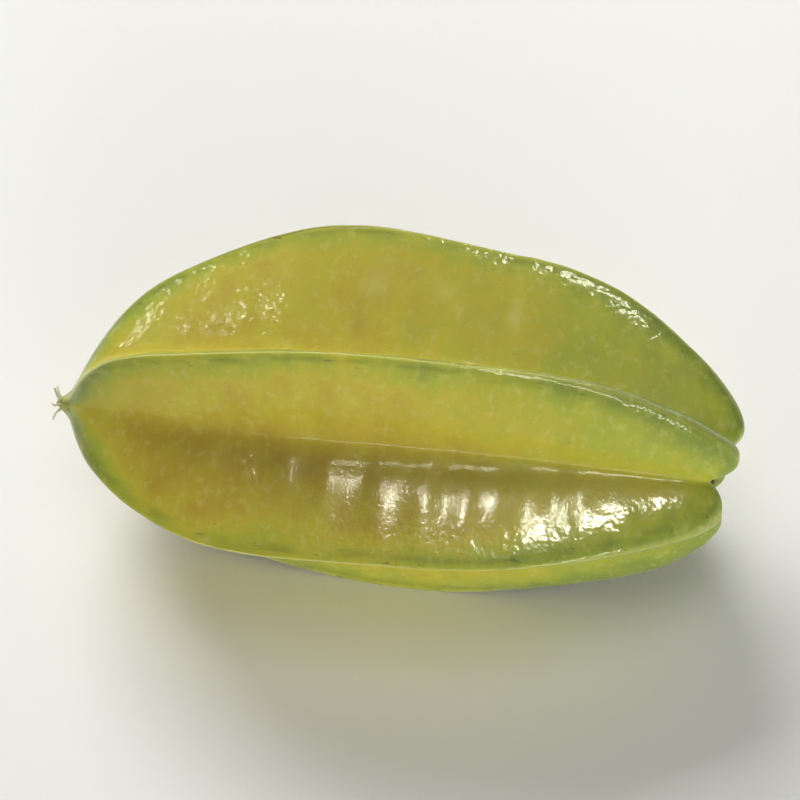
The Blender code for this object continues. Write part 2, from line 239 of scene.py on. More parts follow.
def fruitTree():
    tree = bpy.data.node_groups.new("starFruitShape", "GeometryNodeTree")
    tree.interface.new_socket("Geometry", in_out="OUTPUT", socket_type="NodeSocketGeometry")
    for name, value in fruit.items():
        kind = "NodeSocketInt" if isinstance(value, int) else "NodeSocketFloat"
        tree.interface.new_socket(name, in_out="INPUT", socket_type=kind).default_value = value
    tree.interface.new_socket("Place", in_out="INPUT", socket_type="NodeSocketVector")
    tree.interface.new_socket("Skin", in_out="INPUT", socket_type="NodeSocketMaterial")
    given = addNode(tree, "NodeGroupInput")
    sheet = addNode(tree, "GeometryNodeMeshGrid", {"Size X": 1, "Size Y": 1}, {
        "Vertices X": given.outputs["Points round"], "Vertices Y": given.outputs["Points along"]})
    here = addNode(tree, "ShaderNodeSeparateXYZ", links={0: addNode(tree, "GeometryNodeInputPosition").outputs[0]})
    known = {name: given.outputs[name] for name in fruit}
    known.update(sheetX=here.outputs["X"], sheetY=here.outputs["Y"])

    rows = [
        # which rib, which side of it, and how far up from the groove to the edge
        ("ribs", "MULTIPLY_ADD", "sheetX", len(ribs), len(ribs) / 2),
        ("whole", "FLOOR", "ribs"),
        ("own", "MODULO", "whole", len(ribs)),
        ("local", "SUBTRACT", "ribs", "whole"),
        ("twice", "MULTIPLY_ADD", "local", 2, -1),
        ("isAfter", "GREATER_THAN", "twice", -1e-6),
        ("side", "MULTIPLY_ADD", "isAfter", 2, -1),
        ("down", "ABSOLUTE", "twice"),
        ("swing", "MULTIPLY", "down", math.pi),
        ("swung", "COSINE", "swing"),
        ("rise", "MULTIPLY_ADD", "swung", 0.5, 0.5),
        ("away", "SUBTRACT", 1, "rise"),
        ("besideRaw", "ADD", "own", "side"),
        ("besideUp", "ADD", "besideRaw", len(ribs)),
        ("next", "MODULO", "besideUp", len(ribs)),
        # how far along, from the blossom end to the stalk
        ("share", "ADD", "sheetY", 0.5),
        ("shareTurn", "MULTIPLY", "share", 2 * math.pi),
        ("shareSine", "SINE", "shareTurn"),
        ("crowded", "MULTIPLY", "shareSine", "Ring crowding"),
        ("crowdShift", "DIVIDE", "crowded", 2 * math.pi),
        ("eased", "SUBTRACT", "share", "crowdShift"),
        ("turn", "MULTIPLY", "eased", math.pi),
        ("cosTurn", "COSINE", "turn"),
        ("cosSquared", "MULTIPLY", "cosTurn", "cosTurn"),
        ("sinRaw", "SINE", "turn"),
        ("sinTurn", "MAXIMUM", "sinRaw", 1e-6),
        ("waveTurn", "MULTIPLY", "turn", "Edge waves"),
        ("blossomward", "MULTIPLY_ADD", "cosTurn", 0.5, 0.5),
        # one over the end itself, and fading to nothing past the middle
        ("blossomShare", "MULTIPLY_ADD", "cosTurn", 1.1, 0.75),
        ("blossomCapped", "MINIMUM", "blossomShare", 1),
        ("towardsBlossom", "MAXIMUM", "blossomCapped", 0),
        ("stalkShare", "MULTIPLY_ADD", "cosTurn", -1.3, -0.2),
        ("stalkCapped", "MINIMUM", "stalkShare", 1),
        ("towardsStalk", "MAXIMUM", "stalkCapped", 0),
    ]
    for who in ("own", "next"):
        for field in ribs[0]:
            if field != "ripe":
                rows.append((f"{who}_{field}", "PICK", who, *[rib[field] for rib in ribs]))
        rows += [
            (f"{who}_bowed", "MULTIPLY_ADD", f"{who}_bow", "cosTurn", f"{who}_spread"),
            (f"{who}_swayed", "MULTIPLY_ADD", f"{who}_sway", "cosTurn", f"{who}_angle"),
            (f"{who}_degrees", "MULTIPLY_ADD", f"{who}_bowed", "cosSquared", f"{who}_swayed"),
            (f"{who}_turned", "RADIANS", f"{who}_degrees"),
            (f"{who}_wavePlace", "ADD", "waveTurn", f"{who}_phase"),
            (f"{who}_waving", "SINE", f"{who}_wavePlace"),
            (f"{who}_belly", "MULTIPLY_ADD", f"{who}_wave", f"{who}_waving", f"{who}_radius"),
            (f"{who}_taper", "POWER", "sinTurn", f"{who}_bluntness"),
            (f"{who}_full", "MULTIPLY_ADD", f"{who}_fullness", "cosTurn", 1),
            (f"{who}_tapered", "MULTIPLY", f"{who}_belly", f"{who}_taper"),
            (f"{who}_edge", "MULTIPLY", f"{who}_tapered", f"{who}_full"),
        ]
    rows += [
        # the groove between this rib and the one beside it
        ("apart", "SUBTRACT", "next_turned", "own_turned"),
        ("apartSide", "MULTIPLY", "apart", "side"),
        ("between", "FLOORED_MODULO", "apartSide", 2 * math.pi),
        ("halfBetween", "MULTIPLY", "between", 0.5),
        ("leanStep", "SUBTRACT", "own_lean", "next_lean"),
        ("lean", "MULTIPLY_ADD", "leanStep", "isAfter", "next_lean"),
        ("leanTurned", "RADIANS", "lean"),
        ("halfGap", "MULTIPLY_ADD", "leanTurned", "side", "halfBetween"),
        ("grooveTaper", "POWER", "sinTurn", "Groove bluntness"),
        ("free", "MULTIPLY", "Groove radius", "grooveTaper"),
        ("edgeSum", "ADD", "own_edge", "next_edge"),
        ("edgeMean", "MULTIPLY", "edgeSum", 0.5),
        ("limit", "MULTIPLY", "edgeMean", "Groove limit"),
        ("crowding", "DIVIDE", "free", "limit"),
        ("crowdPower", "POWER", "crowding", "Groove blend"),
        ("crowdSum", "ADD", "crowdPower", 1),
        ("blendBack", "DIVIDE", -1, "Groove blend"),
        ("crowdRoot", "POWER", "crowdSum", "blendBack"),
        ("groove", "MULTIPLY", "free", "crowdRoot"),
        # the flank from the groove up to the edge
        ("gapCosine", "COSINE", "halfGap"),
        ("gapSine", "SINE", "halfGap"),
        ("foot", "MULTIPLY", "groove", "gapCosine"),
        ("base", "MULTIPLY", "groove", "gapSine"),
        ("edgeMost", "MULTIPLY", "base", "Edge share"),
        ("edgeThin", "MULTIPLY", "Edge thinning", "towardsBlossom"),
        ("edgeThick", "MULTIPLY", "Edge widening", "towardsStalk"),
        ("edgeChange", "SUBTRACT", "edgeThick", "edgeThin"),
        ("edgeKeep", "ADD", "edgeChange", 1),
        ("edgeWide", "MULTIPLY", "Edge half width", "edgeKeep"),
        ("edgeHalf", "MINIMUM", "edgeWide", "edgeMost"),
        ("ribHeight", "SUBTRACT", "own_edge", "foot"),
        ("height", "MULTIPLY_ADD", "ribHeight", "rise", "foot"),
        ("plump", "POWER", "rise", "Flank plumpness"),
        ("plumpFall", "SUBTRACT", 1, "plump"),
        ("looser", "MULTIPLY", "Edge easing", "towardsStalk"),
        ("firmness", "SUBTRACT", 1, "looser"),
        ("tightness", "MULTIPLY", "Edge tightness", "firmness"),
        ("tight", "POWER", "rise", "tightness"),
        ("tightFall", "SUBTRACT", 1, "tight"),
        ("roundOver", "SQRT", "tightFall"),
        ("flankWidth", "SUBTRACT", "base", "edgeHalf"),
        ("edgePart", "MULTIPLY", "edgeHalf", "roundOver"),
        ("width", "MULTIPLY_ADD", "flankWidth", "plumpFall", "edgePart"),
        ("angleOff", "ARCTAN2", "width", "height"),
        ("widthSquared", "MULTIPLY", "width", "width"),
        ("bothSquared", "MULTIPLY_ADD", "height", "height", "widthSquared"),
        ("straight", "SQRT", "bothSquared"),
        # the groove is filled out to a soft valley, and a sharper one towards the stalk
        ("roundingStep", "SUBTRACT", "Groove rounding", "Groove crease"),
        ("rounding", "MULTIPLY_ADD", "roundingStep", "blossomward", "Groove crease"),
        ("pastGroove", "SUBTRACT", "angleOff", "halfGap"),
        ("pastShare", "DIVIDE", "pastGroove", "rounding"),
        ("fading", "EXPONENT", "pastShare"),
        ("gapTangent", "TANGENT", "halfBetween"),
        ("fillRaw", "MULTIPLY", "fading", "rounding"),
        ("fill", "DIVIDE", "fillRaw", "gapTangent"),
        ("filled", "MULTIPLY", "fill", "groove"),
        ("radius", "MULTIPLY_ADD", "filled", "away", "straight"),
        ("angle", "MULTIPLY_ADD", "side", "angleOff", "own_turned"),
        # along the axis, with the hollow and the shoulders at one end and the cone and the beak at the other
        ("reachSum", "ADD", "own_reach", "next_reach"),
        ("reachMean", "MULTIPLY", "reachSum", 0.5),
        ("reachStep", "SUBTRACT", "own_reach", "reachMean"),
        ("reach", "MULTIPLY_ADD", "reachStep", "rise", "reachMean"),
        ("grooving", "MULTIPLY", "away", "away"),
        ("notch", "MULTIPLY", "grooving", "Groove notch"),
        ("standing", "SUBTRACT", "reach", "notch"),
        ("plainX", "MULTIPLY", "cosTurn", "Half length"),
        ("hollowShare", "DIVIDE", "radius", "Hollow radius"),
        ("hollowPower", "POWER", "hollowShare", "Hollow steepness"),
        ("hollowSum", "ADD", "hollowPower", 1),
        ("hollow", "DIVIDE", 1, "hollowSum"),
        ("outside", "SUBTRACT", 1, "hollow"),
        ("stalkHalf", "SUBTRACT", 1, "blossomward"),
        ("stalkward", "POWER", "stalkHalf", "Shoulder onset"),
        ("shoulder", "MULTIPLY", "stalkward", "outside"),
        ("shoulderOut", "MULTIPLY", "shoulder", "standing"),
        ("hollowIn", "MULTIPLY", "hollow", "Hollow depth"),
        ("stalkShift", "SUBTRACT", "shoulderOut", "hollowIn"),
        ("stalkX", "SUBTRACT", "stalkShift", "plainX"),
        ("coneShare", "DIVIDE", "radius", "Cone radius"),
        ("coneBack", "MULTIPLY", "coneShare", -1),
        ("coneFade", "EXPONENT", "coneBack"),
        ("coneward", "POWER", "blossomward", "Cone onset"),
        ("coneHere", "MULTIPLY", "coneFade", "coneward"),
        ("coneOut", "MULTIPLY", "coneHere", "Cone height"),
        ("beakShare", "DIVIDE", "radius", "Beak radius"),
        ("beakSquared", "MULTIPLY", "beakShare", "beakShare"),
        ("beakBack", "MULTIPLY", "beakSquared", -1),
        ("beakFade", "EXPONENT", "beakBack"),
        ("beakOut", "MULTIPLY_ADD", "beakFade", "Beak height", "coneOut"),
        ("blossomX", "ADD", "plainX", "beakOut"),
        ("isStalkHalf", "LESS_THAN", "cosTurn", 0),
        ("stalkPart", "MULTIPLY", "stalkX", "isStalkHalf"),
        ("isBlossomHalf", "SUBTRACT", 1, "isStalkHalf"),
        ("blossomPart", "MULTIPLY", "blossomX", "isBlossomHalf"),
        ("x", "SUBTRACT", "stalkPart", "blossomPart"),
        ("angleCosine", "COSINE", "angle"),
        ("angleSine", "SINE", "angle"),
        ("y", "MULTIPLY", "radius", "angleCosine"),
        ("z", "MULTIPLY", "radius", "angleSine"),
        # what the skin's finish needs to know about its place
        ("edgeDepth", "MULTIPLY", "ribHeight", "away"),
        ("flank", "MULTIPLY_ADD", "own", 2, "isAfter"),
        ("pastMiddle", "GREATER_THAN", "down", 0.5),
        ("stepSign", "MULTIPLY_ADD", "pastMiddle", 2, -1),
        ("stepOut", "MULTIPLY", "stepSign", "side"),
        ("flankBeside", "ADD", "flank", "stepOut"),
        ("flankWrapped", "FLOORED_MODULO", "flankBeside", 2 * len(ribs)),
        ("fromMiddle", "MULTIPLY_ADD", "down", 2, -1),
        ("offMiddle", "ABSOLUTE", "fromMiddle"),
        ("offSquared", "MULTIPLY", "offMiddle", "offMiddle"),
        ("offEasing", "MULTIPLY_ADD", "offMiddle", -2, 3),
        ("offEased", "MULTIPLY", "offSquared", "offEasing"),
        ("shareOfNext", "MULTIPLY", "offEased", 0.5),
        ("ripeHere", "PICK", "flank", *[value for rib in ribs for value in rib["ripe"]]),
        ("ripeBeside", "PICK", "flankWrapped", *[value for rib in ribs for value in rib["ripe"]]),
        ("ripeStep", "SUBTRACT", "ripeBeside", "ripeHere"),
        ("ripeness", "MULTIPLY_ADD", "ripeStep", "shareOfNext", "ripeHere"),
    ]
    # a row is a name, an operation and its terms, which are numbers or names of earlier rows. PICK chooses
    # one of its numbers by the row that it names first
    for name, operation, *terms in rows:
        if operation == "PICK":
            made = addNode(tree, "GeometryNodeIndexSwitch", {"data_type": "FLOAT", "label": name}, {
                "Index": known[terms[0]]})
            while len(made.index_switch_items) < len(terms) - 1:
                made.index_switch_items.new()
            for number, value in enumerate(terms[1:]):
                made.inputs[str(number)].default_value = value
        else:
            numbers = {i: term for i, term in enumerate(terms) if not isinstance(term, str)}
            sockets = {i: known[term] for i, term in enumerate(terms) if isinstance(term, str)}
            made = addNode(tree, "ShaderNodeMath", {"operation": operation, "label": name, **numbers}, sockets)
        known[name] = made.outputs[0]

    # the sheet is wrapped into the fruit, and its seam and poles are closed
    skinPlace = addNode(tree, "ShaderNodeCombineXYZ", links={axis: known[axis.lower()] for axis in "XYZ"})
    placed = addNode(tree, "ShaderNodeVectorMath", {"operation": "ADD"}, {
        0: skinPlace.outputs[0], 1: given.outputs["Place"]})
    made = sheet.outputs["Mesh"]
    for name in ("rise", "edgeDepth", "ripeness", "sinTurn", "towardsBlossom"):
        kept = addNode(tree, "GeometryNodeStoreNamedAttribute", {
            "data_type": "FLOAT", "domain": "POINT", "Name": name}, {"Geometry": made, "Value": known[name]})
        made = kept.outputs["Geometry"]
    wrapped = addNode(tree, "GeometryNodeSetPosition", links={"Geometry": made, "Position": placed.outputs[0]})
    seamed = addNode(tree, "GeometryNodeMergeByDistance", {"Distance": weld["seam"]}, {
        "Geometry": wrapped.outputs[0]})
    taper = addNode(tree, "GeometryNodeInputNamedAttribute", {"data_type": "FLOAT", "Name": "sinTurn"}).outputs[0]
    isPole = addNode(tree, "ShaderNodeMath", {"operation": "LESS_THAN", 1: weld["poleTaper"]}, {0: taper})
    closed = addNode(tree, "GeometryNodeMergeByDistance", {"Distance": weld["pole"]}, {
        "Geometry": seamed.outputs[0], "Selection": isPole.outputs[0]})
    made = closed.outputs["Geometry"]

    # the bottom of each groove is eased into a soft valley, less so towards the stalk
    kept = {}
    for name in ("rise", "towardsBlossom", "sinTurn"):
        kept[name] = addNode(tree, "GeometryNodeInputNamedAttribute", {"data_type": "FLOAT", "Name": name}).outputs[0]
    nearGroove = addNode(tree, "ShaderNodeMapRange", {
        "interpolation_type": "SMOOTHSTEP", "From Min": 0.0, "From Max": valley["reach"],
        "To Min": 1.0, "To Max": 0.0}, {"Value": kept["rise"]})
    easing = addNode(tree, "ShaderNodeMath", {"operation": "MULTIPLY"}, {
        0: nearGroove.outputs[0], 1: kept["towardsBlossom"]})
    eased = addNode(tree, "GeometryNodeBlurAttribute", {"data_type": "FLOAT_VECTOR", "Iterations": valley["steps"]}, {
        "Value": addNode(tree, "GeometryNodeInputPosition").outputs[0], "Weight": easing.outputs[0]})
    softened = addNode(tree, "GeometryNodeSetPosition", links={"Geometry": made, "Position": eased.outputs[0]})
    made = softened.outputs["Geometry"]

    # relief: broad lumps, folds that run across the flanks, and wrinkles on them. All of it goes inwards
    spot = addNode(tree, "GeometryNodeInputPosition").outputs[0]
    depths = []
    for number, (height, across, along, detail) in enumerate(reliefs):
        stretch = addNode(tree, "ShaderNodeCombineXYZ", links={
            "X": known[across], "Y": known[along], "Z": known[along]})
        scaled = addNode(tree, "ShaderNodeVectorMath", {"operation": "DIVIDE"}, {0: spot, 1: stretch.outputs[0]})
        seed = addNode(tree, "ShaderNodeMath", {"operation": "ADD", 1: reliefSeedStep * number}, {0: known["Seed"]})
        cloud = addNode(tree, "ShaderNodeTexNoise", {
            "noise_dimensions": "4D", "Scale": 1.0, "Detail": detail, "Roughness": 0.5},
            {"Vector": scaled.outputs[0], "W": seed.outputs[0]})
        deep = addNode(tree, "ShaderNodeMath", {"operation": "MULTIPLY"}, {
            0: cloud.outputs[0], 1: known[height]})
        depths.append(deep.outputs[0])
    both = addNode(tree, "ShaderNodeMath", {"operation": "ADD"}, {0: depths[0], 1: depths[1]})
    whole = addNode(tree, "ShaderNodeMath", {"operation": "ADD"}, {0: both.outputs[0], 1: depths[2]})
    # it dies away at both ends, and close to what the fruit rests on
    towardsEnds = addNode(tree, "ShaderNodeMath", {
        "operation": "MULTIPLY", "use_clamp": True, 1: reliefFade["ends"]}, {0: kept["sinTurn"]})
    spotParts = addNode(tree, "ShaderNodeSeparateXYZ", links={0: spot})
    towardsRest = addNode(tree, "ShaderNodeMapRange", {
        "interpolation_type": "SMOOTHSTEP", "From Min": 0.0, "From Max": reliefFade["rest"]}, {
        "Value": spotParts.outputs["Z"]})
    calmed = addNode(tree, "ShaderNodeMath", {"operation": "MULTIPLY"}, {
        0: whole.outputs[0], 1: towardsEnds.outputs[0]})
    quiet = addNode(tree, "ShaderNodeMath", {"operation": "MULTIPLY"}, {
        0: calmed.outputs[0], 1: towardsRest.outputs[0]})
    inwards = addNode(tree, "ShaderNodeMath", {"operation": "MULTIPLY", 1: -1.0}, {0: quiet.outputs[0]})
    push = addNode(tree, "ShaderNodeVectorMath", {"operation": "SCALE"}, {
        0: addNode(tree, "GeometryNodeInputNormal").outputs[0], "Scale": inwards.outputs[0]})
    uneven = addNode(tree, "GeometryNodeSetPosition", links={"Geometry": made, "Offset": push.outputs[0]})
    # pressed flat where it rests
    later = addNode(tree, "GeometryNodeInputPosition").outputs[0]
    pressed = addNode(tree, "ShaderNodeVectorMath", {"operation": "MAXIMUM", 1: (-1, -1, 0)}, {0: later})
    resting = addNode(tree, "GeometryNodeSetPosition", links={
        "Geometry": uneven.outputs[0], "Position": pressed.outputs[0]})
    smooth = addNode(tree, "GeometryNodeSetShadeSmooth", links={"Geometry": resting.outputs[0]})
    real = addNode(tree, "GeometryNodeRealizeInstances", links={"Geometry": smooth.outputs[0]})
    dressed = addNode(tree, "GeometryNodeSetMaterial", links={
        "Geometry": real.outputs[0], "Material": given.outputs["Skin"]})
    addNode(tree, "NodeGroupOutput", links={"Geometry": dressed.outputs[0]})
    return tree


def newMaterial(name):
    made = bpy.data.materials.new(name)
    made.use_nodes = True
    return made, made.node_tree, made.node_tree.nodes["Principled BSDF"]


skinLook = {
    "green": "#84943c", "yellowGreen": "#a5ab3d", "yellow": "#baaf3c", "orange": "#b29c39", "brown": "#9e8a35",
    # the edge line colour is the paler skin of a rib's edge mixed with a painted highlight
    "edgeLineAndHighlight": "#d0cc80", "edgeShade": "#5f6f30", "speck": "#55531f", "scuff": "#6c6a34", "fleck": "#cfc878",
    "edgeBand": 7.0,  # millimetres from a rib's edge over which its flank stays greener
    "blossomGreen": 18.0, "stalkGreen": 74.0,  # millimetres from either end over which it stays greener
    "speckSpacing": 3.4, "speckRadius": 0.16,
    "grooveWax": 0.3,  # share of the wax left in the grooves
}
# How much each of these adds to a flank's own ripeness, and what is taken off to centre the sum
ripening = {
    "edges": -0.30, "blossomEnd": -0.34, "stalkEnd": -0.37, "grooves": 0.04,
    "mottle": 0.42, "blotches": 0.46, "streaks": 0.12, "middle": 0.50,
}
ripeStops = (("green", 0.05), ("yellowGreen", 0.32), ("yellow", 0.55), ("orange", 0.80), ("brown", 1.0))
# The clouds that vary its colour and relief: the size of their grain along the fruit and across it, in
# millimetres, and how much finer detail each has
skinClouds = {
    "mottle": (14.0, 14.0, 3.0), "blotches": (4.5, 5.5, 3.0), "streaks": (0.9, 9.0, 3.0), "patches": (9.0, 3.0, 4.0),
    "flecks": (1.5, 1.8, 3.0), "scuffs": (3.0, 0.8, 3.0),
    "creases": (0.9, 2.2, 2.0), "pebbles": (1.7, 1.8, 1.0), "grain": (0.5, 0.5, 1.0),
}
# Thin clear wax over translucent flesh, so it glosses and glows a little
skinShader = {
    "Roughness": 0.45, "IOR": 1.42, "Specular IOR Level": 0.12, "Coat Weight": 0.50, "Coat Roughness": 0.13,
    "Coat IOR": 1.48, "Subsurface Weight": 0.32, "Subsurface Scale": 0.0024, "Subsurface Radius": (1.0, 0.85, 0.25),
}


def waxySkin():
    # ripe carambola skin, as it grew, with a painted highlight in the pale line along each rib's edge
    made, tree, shader = newMaterial("waxyCarambolaSkin")
    for name, value in skinShader.items():
        shader.inputs[name].default_value = value
    spot = addNode(tree, "ShaderNodeTexCoord").outputs["Object"]
    known = {"x": addNode(tree, "ShaderNodeSeparateXYZ", links={0: spot}).outputs["X"]}
    for name in ("rise", "edgeDepth", "ripeness"):
        known[name] = addNode(tree, "ShaderNodeAttribute", {"attribute_name": name}).outputs["Fac"]
    for number, (name, (along, across, detail)) in enumerate(skinClouds.items()):
        stretched = addNode(tree, "ShaderNodeMapping", {"Scale": (1000 / along, 1000 / across, 1000 / across)}, {
            "Vector": spot})
        cloud = addNode(tree, "ShaderNodeTexNoise", {
            "noise_dimensions": "4D", "W": 1.0 + number, "Scale": 1.0, "Detail": detail}, {
            "Vector": stretched.outputs[0]})
        known[name] = cloud.outputs[0]
    cells = addNode(tree, "ShaderNodeTexVoronoi", {"Scale": 1000 / skinLook["speckSpacing"]}, {"Vector": spot})
    known["cell"] = cells.outputs["Distance"]
    known["cellPick"] = addNode(tree, "ShaderNodeSeparateColor", links={0: cells.outputs["Color"]}).outputs[0]

    blossomEnd = axisPlace.x - fruit["Half length"]
    stalkEnd = axisPlace.x + fruit["Half length"]
    speckSize = skinLook["speckRadius"] / skinLook["speckSpacing"]
    fullWax = skinShader["Coat Weight"]
    rows = (
        # how ripe it is here: riper in the grooves and over the belly, greener at the edges and both ends
        ("shiftedDepth", "MULTIPLY_ADD", "mottle", 0.007, "edgeDepth"),
        ("unevenDepth", "SUBTRACT", "shiftedDepth", 0.0035),
        ("edgeward", "FADE", "unevenDepth", 0.0, skinLook["edgeBand"] * millimetre, 1.0, 0.0),
        ("grooveward", "FADE", "rise", 0.0, 0.6, 1.0, 0.0),
        ("offGroove", "MULTIPLY_ADD", "grooveward", -0.8, 1.0),
        ("blossomNear", "FADE", "x", blossomEnd, blossomEnd + skinLook["blossomGreen"] * millimetre, 1.0, 0.0),
        ("blossomward", "MULTIPLY", "blossomNear", "offGroove"),
        ("stalkward", "FADE", "x", stalkEnd - skinLook["stalkGreen"] * millimetre, stalkEnd, 0.0, 1.0),
        ("ripe1", "MULTIPLY_ADD", "edgeward", ripening["edges"], "ripeness"),
        ("ripe2", "MULTIPLY_ADD", "blossomward", ripening["blossomEnd"], "ripe1"),
        ("ripe3", "MULTIPLY_ADD", "stalkward", ripening["stalkEnd"], "ripe2"),
        ("ripe4", "MULTIPLY_ADD", "grooveward", ripening["grooves"], "ripe3"),
        ("ripe5", "MULTIPLY_ADD", "mottle", ripening["mottle"], "ripe4"),
        ("ripe6", "MULTIPLY_ADD", "blotches", ripening["blotches"], "ripe5"),
        ("ripe7", "MULTIPLY_ADD", "streaks", ripening["streaks"], "ripe6"),
        ("ripe", "SUBTRACT", "ripe7", ripening["middle"]),
        # a rib's edge: a thin pale line, partly the paler skin there and partly a painted highlight, with a darker,
        # patchy band beside it
        ("paleLineAndHighlight", "FADE", "edgeDepth", 0.0001, 0.0006, 0.48, 0.0),
        ("lineShare", "MULTIPLY_ADD", "stalkward", -0.7, 1.0),
        ("edgeLineAndHighlight", "MULTIPLY", "paleLineAndHighlight", "lineShare"),
        ("bandIn", "FADE", "edgeDepth", 0.0006, 0.0014, 0.0, 1.0),
        ("bandOut", "FADE", "edgeDepth", 0.0012, 0.0030, 0.42, 0.0),
        ("band", "MULTIPLY", "bandIn", "bandOut"),
        ("patchy", "FADE", "patches", 0.36, 0.66, 0.0, 1.0),
        ("edgeShade", "MULTIPLY", "band", "patchy"),
        # short dark scuffs close to the edges, pale flecks all over, and sparse dark pores
        ("scuffed", "FADE", "scuffs", 0.62, 0.72, 0.0, 0.7),
        ("scuffBand", "FADE", "edgeDepth", 0.0010, 0.0040, 1.0, 0.0),
        ("scuff", "MULTIPLY", "scuffed", "scuffBand"),
        ("fleck", "FADE", "flecks", 0.50, 0.72, 0.0, 0.26),
        ("pore", "FADE", "cell", speckSize * 0.4, speckSize * 1.4, 0.55, 0.0),
        ("porePicked", "FADE", "cellPick", 0.55, 0.60, 0.0, 1.0),
        ("speck", "MULTIPLY", "pore", "porePicked"),
        # relief in millimetres: pebbles near the edges and the blossom end, creases and a grain all over
        ("pebbleEdge", "FADE", "edgeDepth", 0.0020, 0.0100, 1.0, 0.0),
        ("pebbleEnd", "FADE", "x", blossomEnd + 0.030, blossomEnd + 0.046, 1.0, 0.0),
        ("pebbleMost", "MAXIMUM", "pebbleEdge", "pebbleEnd"),
        ("pebbleOut", "FADE", "rise", 0.08, 0.25, 0.0, 0.16),
        ("pebbleShare", "MULTIPLY_ADD", "pebbleMost", "pebbleOut", 0.02),
        ("pebbled", "MULTIPLY", "pebbles", "pebbleShare"),
        ("creased", "MULTIPLY_ADD", "creases", 0.005, "pebbled"),
        ("relief", "MULTIPLY_ADD", "grain", 0.022, "creased"),
        # the wax is rubbed off to a dull bloom down in the grooves
        ("wax", "FADE", "rise", 0.10, 0.32, skinLook["grooveWax"] * fullWax, fullWax),
    )
    # a row is a name, an operation and its terms, as in the fruit's shape. FADE goes smoothly from the third
    # number to the fourth while its term goes from the first to the second
    for name, operation, *terms in rows:
        if operation == "FADE":
            limits = dict(zip(("From Min", "From Max", "To Min", "To Max"), terms[1:]))
            step = addNode(tree, "ShaderNodeMapRange", {
                "interpolation_type": "SMOOTHSTEP", "label": name, **limits}, {"Value": known[terms[0]]})
        else:
            numbers = {i: term for i, term in enumerate(terms) if not isinstance(term, str)}
            sockets = {i: known[term] for i, term in enumerate(terms) if isinstance(term, str)}
            step = addNode(tree, "ShaderNodeMath", {"operation": operation, "label": name, **numbers}, sockets)
        known[name] = step.outputs[0]

    ramp = addNode(tree, "ShaderNodeValToRGB", links={0: known["ripe"]})
    while len(ramp.color_ramp.elements) < len(ripeStops):
        ramp.color_ramp.elements.new(0.5)
    for element, (name, where) in zip(ramp.color_ramp.elements, ripeStops):
        element.position = where
        element.color = linearColour(skinLook[name])
    colour = ramp.outputs[0]
    # the edge line layer paints a highlight along the rib edges as well as their paler skin
    for name in ("fleck", "edgeShade", "edgeLineAndHighlight", "scuff", "speck"):
        layer = addNode(tree, "ShaderNodeMix", {"data_type": "RGBA", 7: linearColour(skinLook[name])}, {
            0: known[name], 6: colour})
        colour = layer.outputs[2]
    tree.links.new(colour, shader.inputs["Base Color"])
    tree.links.new(known["wax"], shader.inputs["Coat Weight"])
    bump = addNode(tree, "ShaderNodeBump", {"Strength": 1.0, "Distance": millimetre}, {"Height": known["relief"]})
    tree.links.new(bump.outputs[0], shader.inputs["Normal"])
    tree.links.new(bump.outputs[0], shader.inputs["Coat Normal"])
    return made


skin = waxySkin()
flesh = plainMesh("star_fruit_skin", fruitTree(), {**fruit, "Place": axisPlace, "Skin": skin}, skin)
print("fruit has", len(flesh.data.vertices), "points and", len(flesh.data.polygons), "faces")
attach(flesh, "root")
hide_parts("fruit_body")

# The dry styles: crinkled pale threads that splay from the tip of the beak
print("dry styles")
styles = {
    "Threads": 5, "Length": 0.0028, "Thickness": 0.00032, "Lean": math.radians(60), "Bend": 0.0006,
    "Root back": 0.0012, "Root out": 0.0010,  # from the beak's tip, and from its middle
    "Crinkle": 0.00040, "Crinkle size": 0.0010, "Seed": 4.0,
}
styleLook = {"root": "#b9bd86", "end": "#d2cdb2", "endFrom": 0.5}  # the last is how far along the end's colour starts
styleShader = {"Roughness": 0.65, "Subsurface Weight": 0.3, "Subsurface Scale": 0.0004}
styleChance = {
    "turn": 0.35, "turnSeed": 7,  # radians that one strays round the axis
    "shortest": 0.72, "lengthSeed": 5,  # as a share of the full length
}


